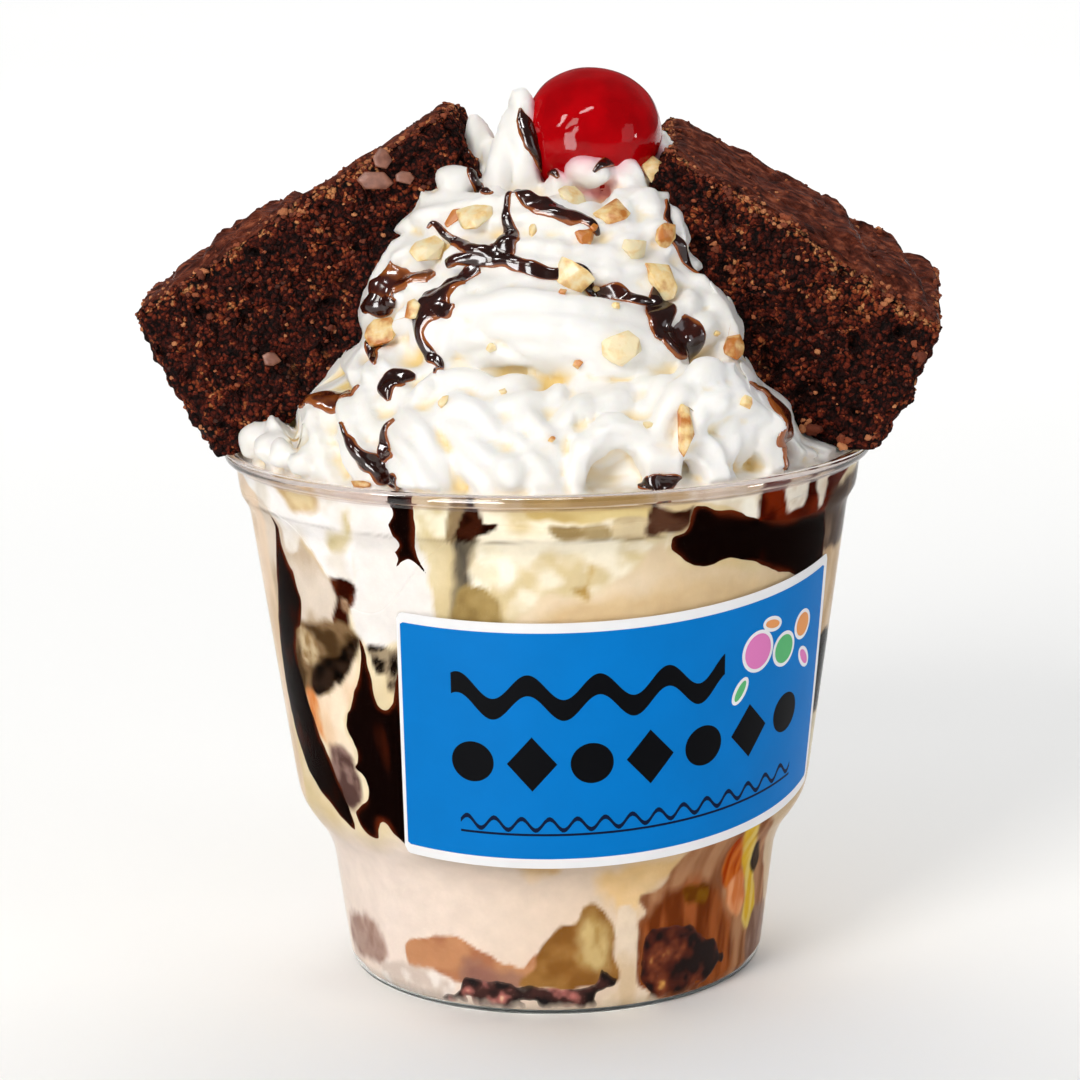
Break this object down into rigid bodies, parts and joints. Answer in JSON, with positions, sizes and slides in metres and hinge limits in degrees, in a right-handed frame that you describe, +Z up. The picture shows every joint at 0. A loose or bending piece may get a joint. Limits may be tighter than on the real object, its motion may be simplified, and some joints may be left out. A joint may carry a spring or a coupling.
{
  "type": "ice cream sundae",
  "caption": "Ice cream sundae in a clear squat cup, with fudge, a piped whipped cream heap, nuts, chocolate drizzle, leaning brownie slabs and a cherry.",
  "frame": {"origin": "on the surface that the cup stands on, under the middle of the cup and of the whole sundae", "axes": "+Z up through the cup and its heap; -Y is the front, with the open side of the cream heap; X runs through the leaning slabs"},
  "size_m": [0.1205, 0.098, 0.1364],
  "materials": {
    "clear_cup": "clear thermoformed plastic, smooth and glossy",
    "ice_cream": "pale cream, icy and softly melting at the wall",
    "fudge": "near-black hot fudge, wet and glossy",
    "brownie": "dark open crumb with a thin crackled crust",
    "whipped_cream": "white, soft satin, with star-nozzle ridges",
    "cherry": "deep red candied fruit, wet and glossy",
    "label": "satin coated paper sticker, blue with a white border"
  },
  "bodies": {
    "root": {"cup": "clear_cup", "ice_cream": "ice_cream", "fudge_pool": "fudge", "sauce_left": "fudge", "sauce_front": "fudge", "sauce_drip": "fudge", "brownie_lump_front": "brownie", "brownie_lump_side": "brownie", "whipped_cream": "whipped_cream", "brownie_left": "brownie", "brownie_right": "brownie", "cherry": "cherry", "label": "label"}
  },
  "joints": []
}
